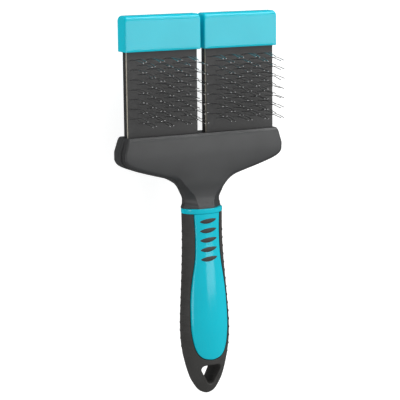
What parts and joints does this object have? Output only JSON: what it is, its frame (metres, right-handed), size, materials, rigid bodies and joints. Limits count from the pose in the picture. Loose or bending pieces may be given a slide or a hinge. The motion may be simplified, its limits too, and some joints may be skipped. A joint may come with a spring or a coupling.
{
  "type": "slicker brush",
  "caption": "Double slicker brush for dogs: two flexible pads of bent wire pins with end caps, side by side in a T-shaped head on a soft-grip handle with a hanging hole.",
  "frame": {"origin": "on the resting plane under the middle of the overall length, with the brush lying on its back", "axes": "+X to the right seen from the pin side, +Y from the handle's tip to the caps, +Z out of the pins"},
  "size_m": [0.0976, 0.211, 0.026],
  "materials": {
    "hard_core": "glossy turquoise moulding",
    "cap_plastic": "satin-gloss turquoise moulding",
    "head_plastic": "satin dark grey moulding",
    "soft_grip": "matt dark grey soft moulding",
    "carrier_plastic": "matt dark grey",
    "foam": "matt black closed-cell foam",
    "woven_ply": "pale cotton ply, seen on its cut edge",
    "face_rubber": "matt dark grey rubber",
    "pin_wire": "drawn steel wire"
  },
  "bodies": {
    "handle": {"head_front_shell": "head_plastic", "head_back_shell": "head_plastic", "handle_core": "hard_core", "grip_overmould": "soft_grip", "thumb_ribs": "soft_grip"},
    "left_pad": {"left_flex_plate": "carrier_plastic", "left_foam_layer": "foam", "left_fabric_ply": "woven_ply", "left_face_sheet": "face_rubber", "left_pins": "pin_wire", "left_corner_pins": "pin_wire", "left_cap": "cap_plastic"},
    "right_pad": {"right_flex_plate": "carrier_plastic", "right_foam_layer": "foam", "right_fabric_ply": "woven_ply", "right_face_sheet": "face_rubber", "right_pins": "pin_wire", "right_corner_pins": "pin_wire", "right_cap": "cap_plastic"}
  },
  "joints": [
    {"name": "left_pad_flex", "type": "hinge", "parent": "handle", "child": "left_pad", "pos_m": [-0.02345, 0.037, 0.00725], "axis": [1, 0, 0], "range_deg": [-15, 15], "stiffness_Nm_per_rad": 1},
    {"name": "right_pad_flex", "type": "hinge", "parent": "handle", "child": "right_pad", "pos_m": [0.02345, 0.037, 0.00725], "axis": [1, 0, 0], "range_deg": [-15, 15], "stiffness_Nm_per_rad": 1}
  ]
}
